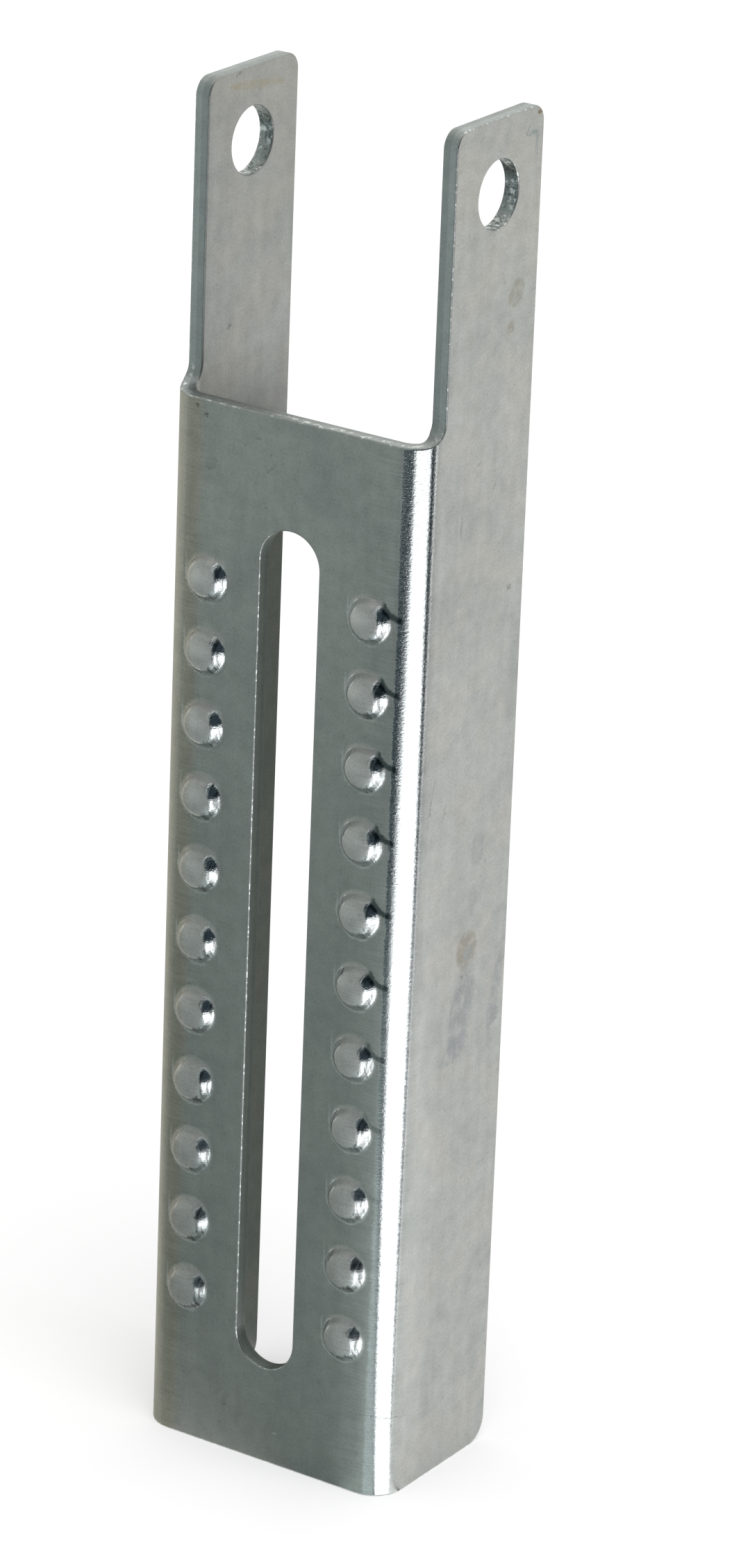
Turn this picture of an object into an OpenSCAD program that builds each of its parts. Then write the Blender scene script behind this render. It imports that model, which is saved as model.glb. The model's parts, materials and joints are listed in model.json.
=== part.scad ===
// Bunk bracket for a boat trailer: one folded piece of galvanised sheet.
// A channel stands on its lower end. Its web faces -Y, and its two flanges run back along +Y.
// Above the web the flanges go on as two ears, which hold one bolt between them.
// The origin is on the foot plane, at the middle of the part's box in X and Y.

/* [Sheet] */
// Thickness of the sheet
sheet_t = 3.2; // [2.5:0.1:4]
// Inside radius of the two long bends
bend_r = 3.2; // [2:0.1:4.5]

/* [Channel] */
// Clear width between the flanges
inside_w = 50.2; // [48:0.1:80]
// Depth of the channel, from the outer face of the web to the rear edges of the flanges
flange_d = 34.9; // [30:0.1:60]
// Height of the web
web_h = 209.5; // [190:0.5:300]
// Radius of the lower rear corner of each flange
foot_corner_r = 4.8; // [1:0.1:8]

/* [Ears] */
// Height of the ears above the web
ear_rise = 57.2; // [35:0.1:90]
// Width of an ear, from its front edge to its rear edge
ear_w = 28.2; // [24:0.1:29]
// Radius of the upper corners of an ear
ear_corner_r = 3.4; // [1:0.1:8]
// Radius of the notch corner between an ear and the upper edge of the web
notch_r = 4; // [1:0.1:5]

/* [Bolts] */
// Diameter of the bolt that passes the ears, and of the bolt that slides in the slot
bolt_d = 12.7; // [10:0.1:14]
// Clearance between a bolt and its hole, on the diameter
bolt_clear = 0.2; // [0.1:0.05:1]

/* [Slot] */
// Distance from the foot of the web to the lower end of the slot
slot_foot = 19.8; // [15:0.1:40]
// Distance from the upper edge of the web to the upper end of the slot
slot_head = 21.2; // [15:0.1:40]

/* [Dimples] */
// Number of dimples in each column
dimple_rows = 11; // [1:1:11]
// Distance between the centres of two dimples in a column
dimple_pitch = 14.4; // [12:0.1:15]
// Distance from the foot of the web to the centre of the lowest dimples
dimple_foot = 31.6; // [28:0.1:36]
// Plain land between the edge of the slot and the foot of a dimple
dimple_land = 6.35; // [5:0.05:6.9]
// Height of a dimple above the web
dimple_h = 2.6; // [1.8:0.1:2.8]
// Radius of the wide arc over the crown of a dimple
crown_r = 8; // [6:0.1:10]
// Radius of the shoulder between the crown and the flank of a dimple
shoulder_r = 2.2; // [1.2:0.1:2.6]
// Radius of the fillet round the foot of a dimple
dimple_fillet = 1.2; // [0.8:0.1:1.4]
// Thickness of sheet that is left behind the crown of a dimple
crown_t = 2.9; // [2.5:0.1:3.2]
// Radius of the round dish that the punch leaves behind a dimple
dish_r = 3.6; // [3.4:0.1:3.8]

/* [Hidden] */
$fn = 96;
over = 1;                                   // how far a cutter runs past the face that it cuts
outer_w = inside_w + 2 * sheet_t;
outer_r = bend_r + sheet_t;
overall_h = web_h + ear_rise;
ear_front = flange_d - ear_w;
web_face = -(flange_d - dimple_h) / 2;      // Y of the web's outer face, with the box centred on Y = 0
bolt_hole_d = bolt_d + bolt_clear;
bolt_y = flange_d - ear_w / 2;              // the bore is on the ear's centre line
bolt_z = overall_h - ear_w / 2;             // and as far from its upper edge as from its sides
slot_top = web_h - slot_head;
crown_turn = 18;                            // slope at which the crown turns into the shoulder
flank_turn = 57;                            // slope of the straight flank
crown_edge = crown_r * sin(crown_turn);
shoulder_x = (crown_r - shoulder_r) * sin(crown_turn);
shoulder_z = dimple_h - crown_r + (crown_r - shoulder_r) * cos(crown_turn);
flank_top = [shoulder_x + shoulder_r * sin(flank_turn), shoulder_z + shoulder_r * cos(flank_turn)];
flank_low_z = dimple_fillet * (1 - cos(flank_turn));
flank_low_x = flank_top[0] + (flank_top[1] - flank_low_z) / tan(flank_turn);
foot_r = flank_low_x + dimple_fillet * sin(flank_turn);
dimple_x = bolt_hole_d / 2 + dimple_land + foot_r;
dish_depth = sheet_t + dimple_h - crown_t;

// A width by depth rectangle whose two front corners are rounded, with its front side on Y = 0
module rounded_front(width, depth, r) {
    translate([r - width / 2, 0]) square([width - 2 * r, depth]);
    translate([-width / 2, r]) square([width, depth - r]);
    for (side = [-1, 1]) translate([side * (width / 2 - r), r]) circle(r);
}

// The folded section, seen from above: the web and two flanges, with a round bend between them
module channel_section() {
    difference() {
        rounded_front(outer_w, flange_d, outer_r);
        translate([0, sheet_t]) rounded_front(inside_w, flange_d + over, bend_r);
    }
}

// What is cut away at an outer corner to round it: the corner is at the origin, the solid is at -X, -Y
module corner_cutter(r) {
    difference() {
        translate([-r, -r]) square(r + over);
        translate([-r, -r]) circle(r);
    }
}

// The gap between the ears in side view: its lower rear corner is rounded by notch_r
module notch() {
    translate([-over, web_h + notch_r]) square([ear_front + over, ear_rise]);
    translate([-over, web_h]) square([ear_front - notch_r + over, ear_rise]);
    translate([ear_front - notch_r, web_h + notch_r]) circle(notch_r);
}

// All that is cut away in side view, drawn with Y across and Z up
module side_cuts() {
    notch();
    translate([flange_d, overall_h]) corner_cutter(ear_corner_r);
    translate([ear_front, overall_h]) mirror([1, 0]) corner_cutter(ear_corner_r);
    translate([flange_d, 0]) mirror([0, 1]) corner_cutter(foot_corner_r);
}

// A side view shape carried across both flanges, along X
module across(width) {
    translate([-width / 2, 0, 0]) rotate([90, 0, 90]) linear_extrude(width) children();
}

// The bore that takes one bolt through both ears
module ear_bore() {
    translate([-outer_w / 2 - over, bolt_y, bolt_z])
        rotate([0, 90, 0])
            cylinder(d = bolt_hole_d, h = outer_w + 2 * over);
}

// The long slot in the web, with round ends
module slot() {
    low = slot_foot + bolt_hole_d / 2;
    high = slot_top - bolt_hole_d / 2;
    translate([0, sheet_t + over, 0]) rotate([90, 0, 0]) linear_extrude(sheet_t + 2 * over) {
        translate([-bolt_hole_d / 2, low]) square([bolt_hole_d, high - low]);
        for (z = [low, high]) translate([0, z]) circle(d = bolt_hole_d);
    }
}

// Puts a shape at every dimple's centre on the web, with its Z axis pointing out of the web
module at_dimples() {
    for (side = [-1, 1], row = [0 : dimple_rows - 1])
        translate([side * dimple_x, 0, dimple_foot + row * dimple_pitch])
            rotate([90, 0, 0])
                children();
}

// One dimple: a wide crown, a tight shoulder, a straight flank and a fillet round its foot, with a skirt
// that runs out into the bend
module dimple() {
    skirt = sheet_t / 4;
    rotate_extrude() {
        intersection() {
            translate([0, dimple_h - crown_r]) circle(crown_r);
            translate([0, -sheet_t / 2]) square([crown_edge, dimple_h + sheet_t]);
        }
        intersection() {
            translate([shoulder_x, shoulder_z]) circle(shoulder_r);
            translate([0, shoulder_z]) square([foot_r, dimple_h]);
        }
        difference() {
            polygon([
                [0, -sheet_t / 2], [foot_r, -sheet_t / 2], [foot_r, flank_low_z],
                [flank_low_x, flank_low_z], flank_top, [0, flank_top[1]],
            ]);
            translate([foot_r, dimple_fillet]) circle(dimple_fillet);
        }
        polygon([[0, -sheet_t / 2], [foot_r + skirt, -sheet_t / 2], [foot_r + skirt, -skirt], [foot_r, 0], [0, 0]]);
    }
}

// The dish behind one dimple, measured from the outer face of the web
module dish() {
    translate([0, 0, dish_depth - dish_r - sheet_t]) sphere(dish_r);
}

// The whole bracket: section, side cuts, bore, slot and two columns of dimples
module bracket() {
    color("silver") translate([0, web_face, 0]) difference() {
        union() {
            difference() {
                linear_extrude(overall_h) channel_section();
                across(outer_w + 2 * over) side_cuts();
            }
            at_dimples() dimple();
        }
        at_dimples() dish();
        slot();
        ear_bore();
    }
}

bracket();
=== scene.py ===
"""Looks of a trailer bunk bracket: one folded sheet of galvanised steel, in a plain pale studio.

The sheet is drawn flat first, as it is cut and punched, and then folded. A point of the flat sheet has
three coordinates: u runs across the section, z runs up, and depth runs from the outer face to the inner
face. All three, and every other length in this file, are in millimetres until a mesh is made.
"""

import json
import logging
import math
from dataclasses import dataclass, field, replace
from enum import Enum
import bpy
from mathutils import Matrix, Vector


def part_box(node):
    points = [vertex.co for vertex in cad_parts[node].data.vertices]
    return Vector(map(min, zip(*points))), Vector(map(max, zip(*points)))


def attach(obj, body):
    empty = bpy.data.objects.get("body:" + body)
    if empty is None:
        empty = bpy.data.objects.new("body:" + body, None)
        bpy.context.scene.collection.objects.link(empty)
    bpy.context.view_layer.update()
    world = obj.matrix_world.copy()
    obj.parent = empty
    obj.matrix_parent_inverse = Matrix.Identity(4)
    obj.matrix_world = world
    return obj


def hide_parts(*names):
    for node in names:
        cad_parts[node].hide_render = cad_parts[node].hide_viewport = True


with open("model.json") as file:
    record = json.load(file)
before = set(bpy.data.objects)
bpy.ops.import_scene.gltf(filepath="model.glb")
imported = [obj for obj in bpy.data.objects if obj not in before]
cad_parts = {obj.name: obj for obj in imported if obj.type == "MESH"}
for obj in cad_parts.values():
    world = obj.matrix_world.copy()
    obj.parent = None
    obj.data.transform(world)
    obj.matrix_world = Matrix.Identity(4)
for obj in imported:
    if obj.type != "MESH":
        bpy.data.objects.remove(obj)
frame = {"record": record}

from types import SimpleNamespace

import bpy
import numpy as np
from mathutils import Matrix, Vector
from mathutils.geometry import delaunay_2d_cdt

LOG = logging.getLogger("bracket")
MM = 0.001
QUARTER = math.pi / 2
Triple = tuple[float, float, float]
Colour = Triple
Stop = tuple[float, Colour]
StopLine = tuple[float, tuple[Stop, ...]]


def smoothstep(value: np.ndarray, low: float, high: float) -> np.ndarray:
    """Rises from 0 at low to 1 at high, as three times the square less twice the cube.

    Args:
        value: the numbers to grade.
        low: where the rise starts.
        high: where the rise ends.

    Returns:
        One number from 0 to 1 for each value.
    """
    share = np.clip((value - low) / (high - low), 0.0, 1.0)
    return share * share * (3.0 - 2.0 * share)


def arc(centre: tuple[float, float], radius: float, start: float, end: float, steps: int) -> np.ndarray:
    """Points on a circle: the centre plus the radius times the cosine and sine of an even run of angles.

    Args:
        centre: the circle's centre.
        radius: the circle's radius.
        start: first angle, in degrees.
        end: last angle, in degrees, which is left out of the result.
        steps: how many points there are.

    Returns:
        An array of steps by 2.
    """
    turn = np.radians(np.linspace(start, end, steps, endpoint=False))
    return np.stack([centre[0] + radius * np.cos(turn), centre[1] + radius * np.sin(turn)], axis=1)


def line(start: tuple[float, float], end: tuple[float, float], step: float) -> np.ndarray:
    """Points on a straight line: start plus an even share of the way to end, which is left out.

    Args:
        start: first point.
        end: last point.
        step: longest distance between two points.

    Returns:
        An array of points by 2.
    """
    a, b = np.array(start, float), np.array(end, float)
    count = max(1, math.ceil(float(np.hypot(*(b - a))) / step))
    return a + (b - a) * np.linspace(0.0, 1.0, count, endpoint=False)[:, None]


def slimness(corners: np.ndarray) -> np.ndarray:
    """Gives each triangle's least height: twice its area over its longest side.

    Args:
        corners: triangles by three corners by two coordinates.

    Returns:
        One height for each triangle.
    """
    sides = np.roll(corners, -1, axis=1) - corners
    twice = np.abs(sides[:, 0, 0] * sides[:, 1, 1] - sides[:, 0, 1] * sides[:, 1, 0])
    return twice / np.hypot(sides[..., 0], sides[..., 1]).max(axis=1)


def between(table: np.ndarray, row: np.ndarray) -> np.ndarray:
    """Reads a table at row numbers that may lie between two rows: an even mix of the rows on each side.

    Args:
        table: the rows.
        row: where to read.

    Returns:
        One row for each number.
    """
    low = np.clip(np.floor(row).astype(int), 0, len(table) - 2)
    share = (row - low).reshape(-1, *[1] * (table.ndim - 1))
    return table[low] * (1.0 - share) + table[low + 1] * share


class Face(Enum):
    """The two faces of the sheet, and the sign of their normals along the outward direction."""

    OUTER = 1.0
    INNER = -1.0


@dataclass
class Surface:
    """A patch of the folded sheet.

    Attributes:
        flat: u, z and depth of each point.
        place: X, Y and Z of each point.
        normal: unit normal of each point.
        triangles: three point numbers in each row.
        quads: four point numbers in each row.
    """

    flat: np.ndarray
    place: np.ndarray
    normal: np.ndarray
    triangles: np.ndarray = field(default_factory=lambda: np.zeros((0, 3), int))
    quads: np.ndarray = field(default_factory=lambda: np.zeros((0, 4), int))


@dataclass
class Section:
    """The folded section seen from above: a web, two round bends and two flanges.

    Attributes:
        half_web: distance from the middle of the web to the start of a bend.
        bend: outer radius of a bend.
        thickness: thickness of the sheet.
        web_y: Y of the web's outer face.
        depth: distance from the web's outer face to the rear edges of the flanges.
    """

    half_web: float
    bend: float
    thickness: float
    web_y: float
    depth: float

    @property
    def bend_end(self) -> float:
        """Gives u at the end of a bend, where the flange starts."""
        return self.half_web + self.bend * QUARTER

    @property
    def rear(self) -> float:
        """Gives u at the rear edge of a flange."""
        return self.bend_end + self.depth - self.bend

    def turn(self, u: np.ndarray) -> np.ndarray:
        """Gives the angle by which the sheet has turned at u: 0 on the web, a quarter turn on a flange."""
        return np.clip((np.abs(u) - self.half_web) / self.bend, 0.0, QUARTER)

    def fold(
        self, u: np.ndarray, depth: np.ndarray | float,
    ) -> tuple[np.ndarray, np.ndarray, np.ndarray, np.ndarray]:
        """Folds the flat sheet.

        In a bend a point goes round the bend's axis at the outer radius less its depth. Past the bend it
        runs straight back.

        Args:
            u: place across the flat sheet.
            depth: depth below the outer face.

        Returns:
            X, Y, and the X and Y parts of the outward normal.
        """
        side, turn = np.sign(u), self.turn(u)
        radius = self.bend - depth
        straight = np.maximum(np.abs(u) - self.bend_end, 0.0)
        x = side * (np.minimum(np.abs(u), self.half_web) + radius * np.sin(turn))
        y = self.web_y + self.bend - radius * np.cos(turn) + straight
        return x, y, side * np.sin(turn), -np.cos(turn)

    def u_from_x(self, x: np.ndarray, depth: float) -> np.ndarray:
        """Gives u of a point on the front of the section.

        On the web u is x. In a bend it is the outer radius times the arc sine of the way into the bend
        over the radius at that depth.

        Args:
            x: place across the folded part.
            depth: depth below the outer face.

        Returns:
            u for each x.
        """
        into = np.clip((np.abs(x) - self.half_web) / (self.bend - depth), 0.0, 1.0)
        return np.sign(x) * (np.minimum(np.abs(x), self.half_web) + self.bend * np.arcsin(into))

    def faces_front(self, u: np.ndarray) -> np.ndarray:
        """Says where the sheet hasn't quite turned onto a flange yet."""
        return self.turn(u) < QUARTER * 0.98

    def u_from_side(self, back: np.ndarray) -> np.ndarray:
        """Gives u of a point seen from the side, at the middle of the sheet's thickness.

        Args:
            back: distance behind the web's outer face.

        Returns:
            u on the right half of the sheet.
        """
        middle = self.bend - self.thickness / 2
        turn = np.arccos(np.clip((self.bend - back) / middle, 0.0, 1.0))
        return self.half_web + self.bend * turn + np.maximum(back - self.bend, 0.0)


@dataclass
class Dimples:
    """The two columns of round dimples, pressed out from behind.

    In section a dimple is a wide crown, a tight shoulder, a straight flank and a fillet. The crown, the
    shoulder and the fillet are circles that touch each other or the flank.

    Attributes:
        rows: number of dimples in a column.
        pitch: distance between two dimples.
        lowest: height of the lowest dimples' centres.
        land: plain land between the slot and a dimple's foot.
        height: height above the web.
        crown: radius of the crown.
        shoulder: radius of the shoulder.
        fillet: radius of the fillet round the foot.
        crown_turn: slope where the crown ends, in radians.
        flank_turn: slope of the flank, in radians.
        dish: radius of the round dish behind a dimple.
        left: thickness left behind the crown.
        dish_edge: how far the edge of the dish is softened.
        spokes: number of points round one dimple.
    """

    rows: int = 11
    pitch: float = 14.4
    lowest: float = 31.6
    land: float = 6.35
    height: float = 2.6
    crown: float = 8.0
    shoulder: float = 2.2
    fillet: float = 1.2
    crown_turn: float = math.radians(18.0)
    flank_turn: float = math.radians(57.0)
    dish: float = 3.6
    left: float = 2.9
    dish_edge: float = 0.3
    spokes: int = 56

    @property
    def crown_end(self) -> float:
        """Gives the radius at which the crown meets the shoulder."""
        return self.crown * math.sin(self.crown_turn)

    @property
    def flank(self) -> tuple[float, float, float, float]:
        """Gives the flank's upper radius and height, and its lower radius and height.

        Returns:
            Upper radius, upper height, lower radius and lower height.
        """
        inside = self.crown - self.shoulder
        top_r = inside * math.sin(self.crown_turn) + self.shoulder * math.sin(self.flank_turn)
        top_z = self.height - self.crown + inside * math.cos(self.crown_turn)
        top_z += self.shoulder * math.cos(self.flank_turn)
        low_z = self.fillet * (1.0 - math.cos(self.flank_turn))
        return top_r, top_z, top_r + (top_z - low_z) / math.tan(self.flank_turn), low_z

    @property
    def foot(self) -> float:
        """Gives the radius at which the fillet meets the web."""
        return self.flank[2] + self.fillet * math.sin(self.flank_turn)

    def outer_radii(self) -> np.ndarray:
        """Gives the rings of one dimple, even in angle on its arcs and in radius on its flank.

        Returns:
            Their radii, from the centre outwards.
        """
        top, _, low, _ = self.flank
        centre = (self.crown - self.shoulder) * math.sin(self.crown_turn)
        return np.concatenate([
            np.linspace(0.0, self.crown_end, 8),
            centre + self.shoulder * np.sin(np.linspace(self.crown_turn, self.flank_turn, 7))[1:],
            np.linspace(top, low, 5)[1:],
            self.foot - self.fillet * np.sin(np.linspace(self.flank_turn, 0.0, 8))[1:],
            [self.foot + 0.25],
        ])

    def inner_radii(self) -> np.ndarray:
        """Gives the rings of one dish, which lie closer where its wall gets steep.

        Returns:
            Their radii, from the centre outwards.
        """
        steep = np.sin(np.linspace(0.0, 1.0, 12) * math.radians(76.0))
        edge = np.linspace(1.0, 1.3, 8)[1:]
        return self.dish * np.concatenate([steep / steep[-1] * 0.985, edge])

    def rise(self, radius: np.ndarray) -> tuple[np.ndarray, np.ndarray]:
        """Gives the height of the outer face above the web, and its slope, at a distance from the centre.

        On an arc the slope is the offset from the arc's centre over the root of its radius squared less
        that offset squared. The flank is a straight line, and the web past the foot is flat.

        Args:
            radius: distance from the dimple's centre.

        Returns:
            The height, and its change with the radius.
        """
        top_r, top_z, low_r, _ = self.flank
        centre = (self.crown - self.shoulder) * math.sin(self.crown_turn)
        level = self.height - self.crown + (self.crown - self.shoulder) * math.cos(self.crown_turn)
        on = [radius < self.crown_end, radius < top_r, radius < low_r, radius < self.foot]
        wide = np.sqrt(np.maximum(self.crown**2 - radius**2, 1e-9))
        off = np.clip(radius - centre, 0.0, self.shoulder * 0.999)
        tight = np.sqrt(self.shoulder**2 - off**2)
        out = np.clip(self.foot - radius, 0.0, self.fillet * 0.999)
        hollow = np.sqrt(self.fillet**2 - out**2)
        fall = math.tan(self.flank_turn)
        flank = top_z - fall * (radius - top_r)
        heights = [self.height - self.crown + wide, level + tight, flank, self.fillet - hollow]
        slopes = [-radius / wide, -off / tight, np.full_like(radius, -fall), -out / hollow]
        return np.select(on, heights, 0.0), np.select(on, slopes, 0.0)

    def drop(self, radius: np.ndarray, thickness: float) -> tuple[np.ndarray, np.ndarray]:
        """Gives the depth of the dish's surface below the web's outer face, and its slope.

        The dish is a circle whose centre lies behind the inner face. Past its steep part it goes on
        straight at the same slope.

        Args:
            radius: distance from the dimple's centre.
            thickness: thickness of the sheet.

        Returns:
            The depth, and its change with the radius.
        """
        centre = thickness + self.dish - (thickness + self.height - self.left)
        steep = 0.96 * self.dish
        inner = np.minimum(radius, steep)
        up = np.sqrt(self.dish**2 - inner**2)
        slope = inner / up
        return centre - up + slope * np.maximum(radius - steep, 0.0), slope


@dataclass
class Bracket:
    """The whole bracket: one sheet with its outline, slot, bores, bends and dimples.

    Attributes:
        web_height: height of the web.
        bend_inside: inside radius of the two bends.
        notch: radius of the corner between an ear and the web's upper edge.
        ear_corner: radius of an ear's upper corners.
        foot_corner: radius of a flange's lower rear corner.
        rim: radius of the softened edges of the cut sheet.
        bend_step: distance between points where the sheet bends.
        flat_step: distance between points where it is flat.
        dimples: the pressed dimples.
        section: the folded section.
        top: height of the ears' upper edges.
        web_y: Y of the web's outer face.
        ear_front: distance of an ear's front edge behind the web's outer face.
        bore_back: distance of the bores' centres behind the web's outer face.
        bore_z: height of the bores' centres.
        bore_radius: radius of the bores.
        slot_radius: radius of the slot's ends.
        slot_mid: height of the slot's middle.
        slot_reach: distance from there to the centre of either end.
        dimple_x: distance of the dimples' centres from the middle of the web.
    """

    web_height: float = 209.5
    bend_inside: float = 3.2
    notch: float = 4.0
    ear_corner: float = 3.4
    foot_corner: float = 4.8
    rim: float = 0.4
    bend_step: float = 0.6
    flat_step: float = 1.25
    dimples: Dimples = field(default_factory=Dimples)
    section: Section = field(init=False)
    top: float = field(init=False)
    web_y: float = field(init=False)
    ear_front: float = field(init=False)
    bore_back: float = field(init=False)
    bore_z: float = field(init=False)
    bore_radius: float = field(init=False)
    slot_radius: float = field(init=False)
    slot_mid: float = field(init=False)
    slot_reach: float = field(init=False)
    dimple_x: float = field(init=False)

    def __post_init__(self) -> None:
        """Takes the sizes that the CAD part holds from the frame."""
        low, high = (np.array(corner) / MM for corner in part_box("bracket"))
        mounts = {mount["name"]: mount for mount in frame["record"]["mounts"]}
        self.top = float(high[2])
        self.web_y = mounts["web_face"]["pos_m"][1] / MM
        thickness = float(high[0]) - mounts["right_ear_inside"]["pos_m"][0] / MM
        bend = self.bend_inside + thickness
        depth = float(high[1]) - self.web_y
        self.section = Section(float(high[0]) - bend, bend, thickness, self.web_y, depth)
        self.dimples.height = self.web_y - float(low[1])
        bore, slot = mounts["ear_bore"], mounts["web_slot"]
        self.bore_back = bore["pos_m"][1] / MM - self.web_y
        self.bore_z = bore["pos_m"][2] / MM
        self.bore_radius = bore["dims"]["r_mm"]
        self.slot_radius = slot["dims"]["hole_r_mm"]
        self.slot_mid = slot["pos_m"][2] / MM
        self.slot_reach = slot["dims"]["slot_length_mm"] / 2 - self.slot_radius
        self.ear_front = 2 * self.bore_back - self.section.depth
        self.dimple_x = self.slot_radius + self.dimples.land + self.dimples.foot

    @property
    def bore_u(self) -> float:
        """Gives the distance of the bores' centres from the middle of the unrolled sheet."""
        return float(self.section.u_from_side(np.array(self.bore_back)))

    def depth(self, face: Face) -> float:
        """Gives how deep a face lies below the outer one."""
        return 0.0 if face is Face.OUTER else self.section.thickness

    def rings(self, face: Face) -> np.ndarray:
        """Gives the radii of the rings round a dimple or round the dish behind it."""
        return self.dimples.outer_radii() if face is Face.OUTER else self.dimples.inner_radii()

    def outline(self) -> np.ndarray:
        """Draws the edge of the flat sheet, clockwise: the right half, then its mirror.

        Returns:
            u and z of each point.
        """
        section, height = self.section, self.web_height
        front, notch, ear, foot = self.ear_front, self.notch, self.ear_corner, self.foot_corner
        rear = section.depth
        u_notch, u_foot = section.u_from_side(np.array([front - notch, rear - foot]))
        side = np.concatenate([
            arc((front - notch, height + notch), notch, -90, 0, 18),
            line((front, height + notch), (front, self.top - ear), self.flat_step),
            arc((front + ear, self.top - ear), ear, 180, 90, 12),
            line((front + ear, self.top), (rear - ear, self.top), self.bend_step),
            arc((rear - ear, self.top - ear), ear, 90, 0, 12),
            line((rear, self.top - ear), (rear, foot), self.flat_step),
            arc((rear - foot, foot), foot, 0, -90, 14),
        ])
        side[:, 0] = section.u_from_side(side[:, 0])
        upper = line((0, height), (u_notch, height), self.bend_step)
        lower = line((u_foot, 0), (0, 0), self.bend_step)
        right = np.concatenate([upper, side, lower, [[0.0, 0.0]]])
        left = right[-2:0:-1] * [-1, 1]
        return np.concatenate([right, left])

    def slot_loop(self) -> np.ndarray:
        """Draws the slot's edge, counter-clockwise: two half circles joined by two straight lines.

        Returns:
            u and z of each point.
        """
        r, low, high = self.slot_radius, self.slot_mid - self.slot_reach, self.slot_mid + self.slot_reach
        return np.concatenate([
            line((r, low), (r, high), self.flat_step),
            arc((0, high), r, 0, 180, 40),
            line((-r, high), (-r, low), self.flat_step),
            arc((0, low), r, 180, 360, 40),
        ])

    def bore_loop(self, side: int) -> np.ndarray:
        """Draws one ear bore's edge, counter-clockwise, on the right (1) or left (-1) half of the sheet."""
        return arc((side * self.bore_u, self.bore_z), self.bore_radius, 0, 360, 72)

    def loops(self) -> list[np.ndarray]:
        """Lists every cut edge. Each has the metal on its right-hand side."""
        return [self.outline(), self.slot_loop(), self.bore_loop(-1), self.bore_loop(1)]

    def into_metal(self, loop: np.ndarray) -> np.ndarray:
        """Gives unit directions from an edge into the metal: a quarter turn right of the way on.

        Args:
            loop: u and z of the edge, with the metal on its right.

        Returns:
            One direction for each point.
        """
        along = np.roll(loop, -1, axis=0) - np.roll(loop, 1, axis=0)
        along /= np.linalg.norm(along, axis=1, keepdims=True)
        return np.stack([along[:, 1], -along[:, 0]], axis=1)

    def dimple_centres(self) -> np.ndarray:
        """Lists X and Z of every dimple: two columns of evenly spaced centres.

        Returns:
            An array of centres by 2.
        """
        z = self.dimples.lowest + np.arange(self.dimples.rows) * self.dimples.pitch
        x, z = np.meshgrid([-self.dimple_x, self.dimple_x], z)
        return np.stack([x.ravel(), z.ravel()], axis=1)

    def lay(self, flat: np.ndarray, face: Face) -> Surface:
        """Folds points of one face of the flat sheet and presses the dimples or dishes into it.

        The outer face rises towards -Y by the dimple's height at the point's distance from the nearest
        dimple. The inner face takes a smooth minimum of its own depth and the dish's depth: half their
        sum, less half the root of their difference squared plus the softness squared.

        Args:
            flat: u and z of each point.
            face: which face the points lie on.

        Returns:
            The folded points, without faces.
        """
        section, dimples, depth = self.section, self.dimples, self.depth(face)
        u, z = flat.T
        x, y, nx, ny = section.fold(u, depth)
        centres = self.dimple_centres()
        apart = np.hypot(x[:, None] - centres[:, 0], z[:, None] - centres[:, 1])
        nearest = apart.argmin(axis=1)
        radius = apart[np.arange(len(u)), nearest]
        away = (np.stack([x, z], axis=1) - centres[nearest]) / np.maximum(radius, 1e-6)[:, None]
        front = section.faces_front(u) & (radius < 2 * dimples.foot)
        tilt = np.where(front, nx / np.minimum(ny, -0.02) * -1.0, 0.0)
        if face is Face.OUTER:
            height, slope = dimples.rise(radius)
            y = np.where(front, y - height, y)
            slope = -slope
        else:
            own = y - section.web_y
            dish, steep = dimples.drop(radius, section.thickness)
            root = np.sqrt((own - dish) ** 2 + dimples.dish_edge**2)
            y = np.where(front, section.web_y + 0.5 * (own + dish - root), y)
            share = 0.5 * (1.0 + (own - dish) / root)
            slope, tilt = steep * share, tilt * (1.0 - share)
        pressed = np.stack([tilt + slope * away[:, 0], -np.ones_like(u), slope * away[:, 1]], axis=1)
        plain = np.stack([nx, ny, np.zeros_like(u)], axis=1)
        normal = np.where(front[:, None], pressed, plain) * face.value
        normal /= np.linalg.norm(normal, axis=1, keepdims=True)
        return Surface(np.stack([u, z, np.full_like(u, depth)], axis=1), np.stack([x, y, z], axis=1), normal)

    def disc(self, centre: np.ndarray, face: Face) -> np.ndarray:
        """Sets points on rings round one dimple: radius times the cosine and sine of the spoke's angle.

        Args:
            centre: X and Z of the dimple.
            face: which face the disc lies on.

        Returns:
            u and z, ring by ring, with the centre first.
        """
        radii = self.rings(face)[1:, None]
        angle = np.linspace(0.0, 2 * np.pi, self.dimples.spokes, endpoint=False)[None, :]
        x = np.append(centre[0], (centre[0] + radii * np.cos(angle)).ravel())
        z = np.append(centre[1], (centre[1] + radii * np.sin(angle)).ravel())
        return np.stack([self.section.u_from_x(x, self.depth(face)), z], axis=1)

    def dimple_faces(self, face: Face) -> list[Surface]:
        """Makes every dimple or dish of one face as a disc of quads round a fan of triangles.

        Args:
            face: which face.

        Returns:
            One patch for each dimple.
        """
        spokes = self.dimples.spokes
        here = np.arange(spokes)
        after = (here + 1) % spokes
        made = []
        for centre in self.dimple_centres():
            surface = self.lay(self.disc(centre, face), face)
            first = 1 + spokes * np.arange((len(surface.flat) - 1) // spokes - 1)[:, None]
            ring = [first + here, first + spokes + here, first + spokes + after, first + after]
            ring = [np.broadcast_to(corner, (len(first), spokes)) for corner in ring]
            surface.quads = np.stack(ring, axis=-1).reshape(-1, 4)
            surface.triangles = np.stack([np.zeros(spokes, int), 1 + here, 1 + after], axis=1)
            made.append(surface)
        return made

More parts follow.
